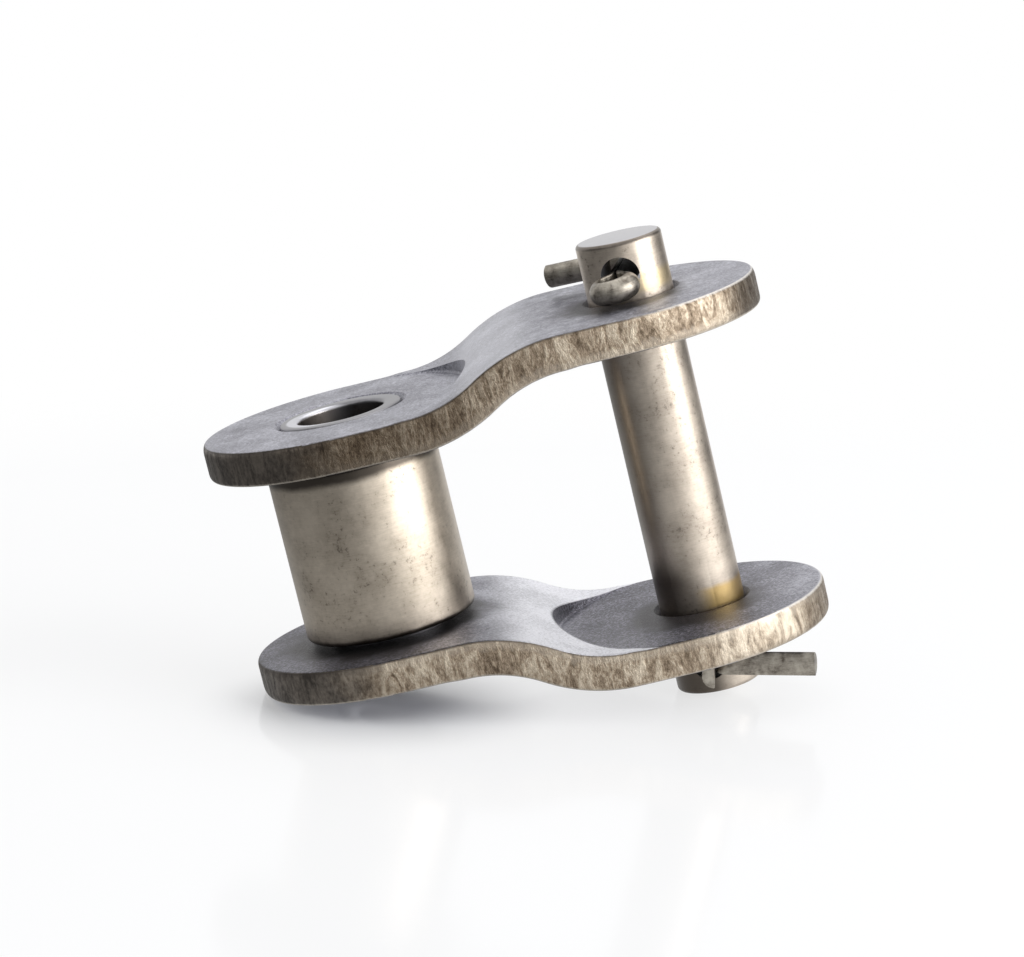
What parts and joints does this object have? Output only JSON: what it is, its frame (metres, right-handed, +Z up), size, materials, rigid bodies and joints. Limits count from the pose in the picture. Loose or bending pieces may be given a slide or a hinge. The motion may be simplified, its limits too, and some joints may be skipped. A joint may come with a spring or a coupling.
{
  "type": "offset link",
  "caption": "Offset link for a roller chain: cranked side plates with a bush and a free-turning roller at the narrow end, and a pin held by split pins at the wide end.",
  "frame": {"origin": "middle of the footprint, on the surface that the link rests on", "axes": "+X from the bush end to the pin end, +Y away from the viewer, +Z up; the link's pin axes lean 13.5 degrees from +Z towards -X, as it rests on its lower plate's round end and its pin's end"},
  "size_m": [0.1038, 0.0466, 0.0777],
  "materials": {
    "plate_steel": "matt shot-finished faces, sheared brown-grey edges",
    "bush_steel": "turned, hardened, satin",
    "roller_steel": "polished, slightly pitted, warm grey",
    "pin_steel": "ground and polished, warm grey",
    "cotter_steel": "drawn half-round wire, dull"
  },
  "bodies": {
    "link": {"upper_plate": "plate_steel", "lower_plate": "plate_steel", "bush": "bush_steel", "pin": "pin_steel", "upper_cotter": "cotter_steel", "lower_cotter": "cotter_steel"},
    "roller": {"roller": "roller_steel"}
  },
  "joints": [
    {"name": "roller_spin", "type": "hinge", "parent": "link", "child": "roller", "pos_m": [-0.02425, 0, 0.02632], "axis": [-0.2335, 0, 0.9724], "continuous": true}
  ]
}
